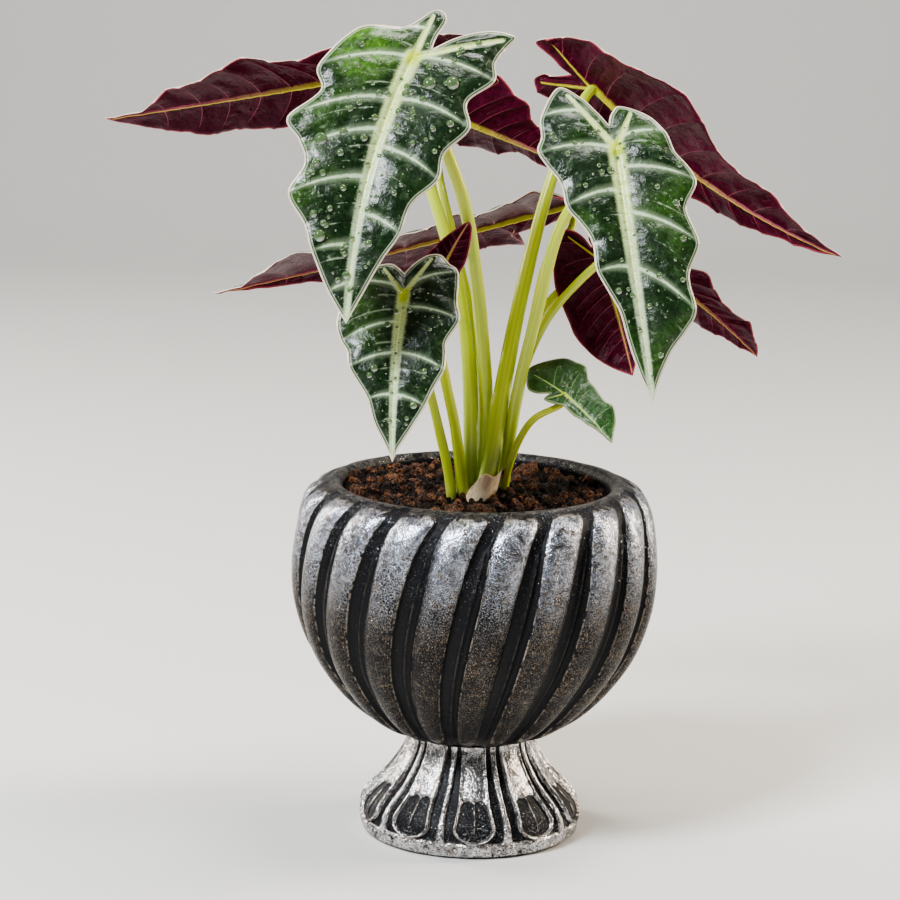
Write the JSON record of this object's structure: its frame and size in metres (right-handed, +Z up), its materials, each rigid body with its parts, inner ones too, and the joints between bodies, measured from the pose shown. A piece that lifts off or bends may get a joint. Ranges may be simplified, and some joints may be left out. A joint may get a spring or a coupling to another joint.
{
  "type": "potted alocasia polly",
  "caption": "Alocasia with arrow-shaped, pale-veined leaves on fleshy upright stalks, planted in a footed urn with swirled ribs.",
  "frame": {"origin": "on the urn's axis, at the level of the surface that it stands on", "axes": "+Z up, -Y towards the viewer, whom the broad green leaves face, and +X to the viewer's right"},
  "size_m": [0.3212, 0.1975, 0.36],
  "materials": {
    "bowl_glaze": "satin",
    "foot_glaze": "satin",
    "soil": "matte",
    "corm": "matte",
    "sleeve": "matte",
    "stalk": "satin",
    "blade": "gloss"
  },
  "bodies": {
    "root": {"urn_foot": "foot_glaze", "urn_bowl": "bowl_glaze", "soil": "soil", "corm": "corm", "papery_sleeve": "sleeve", "stalk_1": "stalk", "blade_1": "blade", "stalk_2": "stalk", "blade_2": "blade", "stalk_3": "stalk", "blade_3": "blade", "stalk_4": "stalk", "blade_4": "blade", "stalk_5": "stalk", "blade_5": "blade", "stalk_6": "stalk", "blade_6": "blade", "stalk_7": "stalk", "blade_7": "blade", "stalk_8": "stalk", "blade_8": "blade", "stalk_9": "stalk", "blade_9": "blade", "stalk_10": "stalk", "blade_10": "blade", "stalk_11": "stalk", "blade_11": "blade"}
  },
  "joints": []
}
